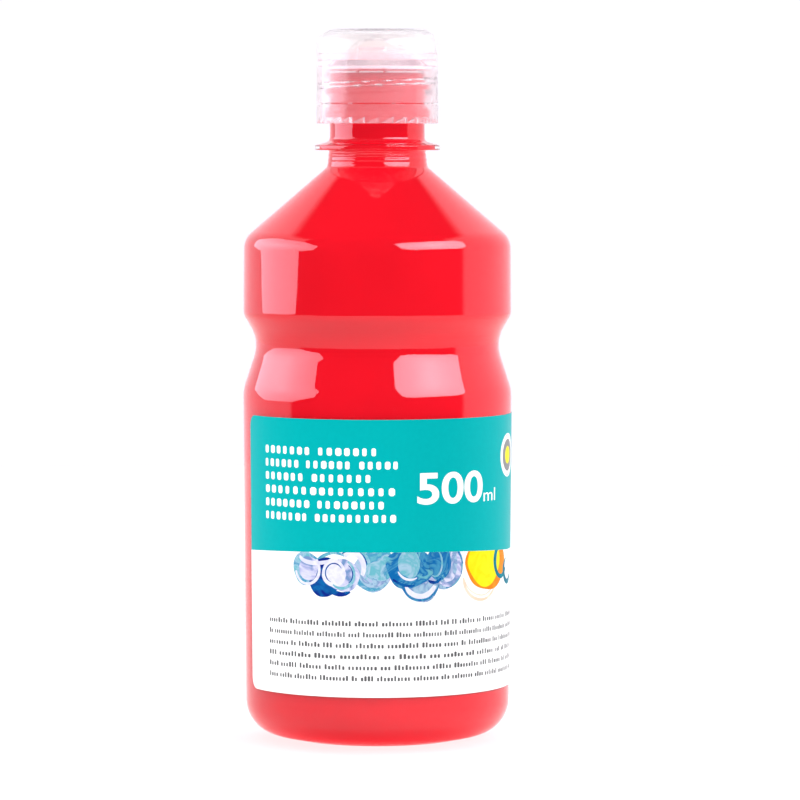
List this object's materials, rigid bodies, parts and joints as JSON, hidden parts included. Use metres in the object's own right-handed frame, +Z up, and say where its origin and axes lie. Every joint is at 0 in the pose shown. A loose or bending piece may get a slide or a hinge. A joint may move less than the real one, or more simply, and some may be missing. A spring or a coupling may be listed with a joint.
{
  "type": "paint bottle",
  "caption": "Clear squeeze bottle of ready-mixed red paint with a waisted body, wraparound label, tamper band and flip-top screw cap.",
  "frame": {"origin": "centre of the foot ring, on the surface that the bottle stands on", "axes": "+Z up along the bottle's axis; the cap's thumb lip faces -Y and its hinge is at +Y"},
  "size_m": [0.0707, 0.0708, 0.1863],
  "materials": {
    "pet_clear": "gloss",
    "paint_red": "gloss",
    "label_print": "satin",
    "cap_clear": "gloss",
    "liner_foam": "matte"
  },
  "bodies": {
    "bottle": {"bottle": "pet_clear", "paint_fill": "paint_red", "label": "label_print"},
    "band": {"tamper_band": "cap_clear", "band_bridges": "cap_clear"},
    "seal": {"liner": "liner_foam"},
    "closure": {"cap_base": "cap_clear", "hinge_film": "cap_clear"},
    "flip_lid": {"lid": "cap_clear"}
  },
  "joints": [
    {"name": "band_drop", "type": "slide", "parent": "bottle", "child": "band", "axis": [0, 0, 1], "range_m": [-0.0044, 0]},
    {"name": "cap_lift", "type": "slide", "parent": "bottle", "child": "seal", "axis": [0, 0, 1], "range_m": [0, 0.00636]},
    {"name": "cap_turn", "type": "hinge", "parent": "seal", "child": "closure", "pos_m": [0, 0, 0.17], "axis": [0, 0, 1], "range_deg": [0, 720]},
    {"name": "lid_flip", "type": "hinge", "parent": "closure", "child": "flip_lid", "pos_m": [0, 0.0162, 0.17949], "axis": [-1, 0, 0], "range_deg": [0, 165]}
  ],
  "couplings": [
    {"joint": "cap_lift", "follows": "cap_turn", "m_per_rad": 0.00050611}
  ]
}
